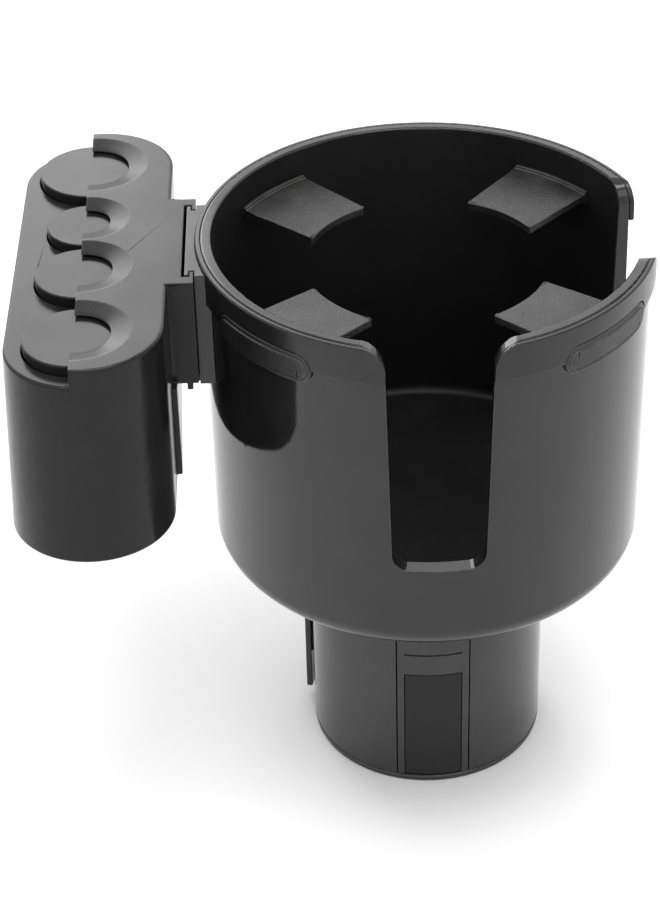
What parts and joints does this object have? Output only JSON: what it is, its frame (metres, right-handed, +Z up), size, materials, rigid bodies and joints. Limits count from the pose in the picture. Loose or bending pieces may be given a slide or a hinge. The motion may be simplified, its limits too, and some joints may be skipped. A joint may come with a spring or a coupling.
{
  "type": "cup holder expander",
  "caption": "Large notched cup with rubber grip tabs on a plug base whose jaws spread as the cup is turned, with a sprung coin box that slides onto its side.",
  "frame": {"origin": "centre of the base's foot, on the cup's axis", "axes": "+Z up along the cup's axis, -Y towards the front handle notch, -X towards the coin box"},
  "size_m": [0.167, 0.123, 0.1624],
  "materials": {
    "gloss_black": "gloss moulded black",
    "satin_black": "satin moulded black",
    "rubber_black": "matte soft black",
    "screw_steel": "zinc plated",
    "spring_steel": "bright wire"
  },
  "bodies": {
    "base": {"base_housing": "satin_black", "base_cap": "satin_black", "base_screws": "screw_steel"},
    "jaw_front_body": {"jaw_front": "satin_black", "jaw_pad_front": "rubber_black"},
    "jaw_rear_right_body": {"jaw_rear_right": "satin_black", "jaw_pad_rear_right": "rubber_black"},
    "jaw_rear_left_body": {"jaw_rear_left": "satin_black", "jaw_pad_rear_left": "rubber_black"},
    "cup": {"cup_body": "gloss_black", "collar_short": "satin_black", "collar_long": "satin_black", "grip_tab_front_right": "rubber_black", "grip_tab_rear_right": "rubber_black", "grip_tab_rear_left": "rubber_black", "grip_tab_front_left": "rubber_black", "slide_bracket": "satin_black", "bracket_screws": "screw_steel", "cam_disc": "satin_black", "cam_screws": "screw_steel"},
    "coin_box": {"coin_housing": "gloss_black", "coin_tubes": "satin_black", "coin_cover": "satin_black", "coin_cover_screws": "screw_steel", "coin_spring_front": "spring_steel", "coin_spring_mid_front": "spring_steel", "coin_spring_mid_rear": "spring_steel", "coin_spring_rear": "spring_steel"},
    "plunger_front_body": {"coin_plunger_front": "satin_black"},
    "plunger_mid_front_body": {"coin_plunger_mid_front": "satin_black"},
    "plunger_mid_rear_body": {"coin_plunger_mid_rear": "satin_black"},
    "plunger_rear_body": {"coin_plunger_rear": "satin_black"}
  },
  "joints": [
    {"name": "cup_twist", "type": "hinge", "parent": "base", "child": "cup", "pos_m": [0, 0, 0.0682], "axis": [0, 0, 1], "range_deg": [0, 80]},
    {"name": "jaw_front_slide", "type": "slide", "parent": "base", "child": "jaw_front_body", "axis": [0, -1, 0], "range_m": [0, 0.004]},
    {"name": "jaw_rear_right_slide", "type": "slide", "parent": "base", "child": "jaw_rear_right_body", "axis": [0.866, 0.5, 0], "range_m": [0, 0.004]},
    {"name": "jaw_rear_left_slide", "type": "slide", "parent": "base", "child": "jaw_rear_left_body", "axis": [-0.866, 0.5, 0], "range_m": [0, 0.004]},
    {"name": "coin_box_lift", "type": "slide", "parent": "cup", "child": "coin_box", "axis": [0, 0, 1], "range_m": [0, 0.03]},
    {"name": "plunger_front_press", "type": "slide", "parent": "coin_box", "child": "plunger_front_body", "axis": [0, 0, -1], "range_m": [0, 0.034], "stiffness_N_per_m": 60, "springref_m": -0.015, "deforming": ["coin_spring_front"]},
    {"name": "plunger_mid_front_press", "type": "slide", "parent": "coin_box", "child": "plunger_mid_front_body", "axis": [0, 0, -1], "range_m": [0, 0.034], "stiffness_N_per_m": 60, "springref_m": -0.015, "deforming": ["coin_spring_mid_front"]},
    {"name": "plunger_mid_rear_press", "type": "slide", "parent": "coin_box", "child": "plunger_mid_rear_body", "axis": [0, 0, -1], "range_m": [0, 0.034], "stiffness_N_per_m": 60, "springref_m": -0.015, "deforming": ["coin_spring_mid_rear"]},
    {"name": "plunger_rear_press", "type": "slide", "parent": "coin_box", "child": "plunger_rear_body", "axis": [0, 0, -1], "range_m": [0, 0.034], "stiffness_N_per_m": 60, "springref_m": -0.015, "deforming": ["coin_spring_rear"]}
  ],
  "couplings": [
    {"joint": "jaw_front_slide", "follows": "cup_twist", "m_per_rad": 0.0028647},
    {"joint": "jaw_rear_right_slide", "follows": "cup_twist", "m_per_rad": 0.0028647},
    {"joint": "jaw_rear_left_slide", "follows": "cup_twist", "m_per_rad": 0.0028647}
  ]
}
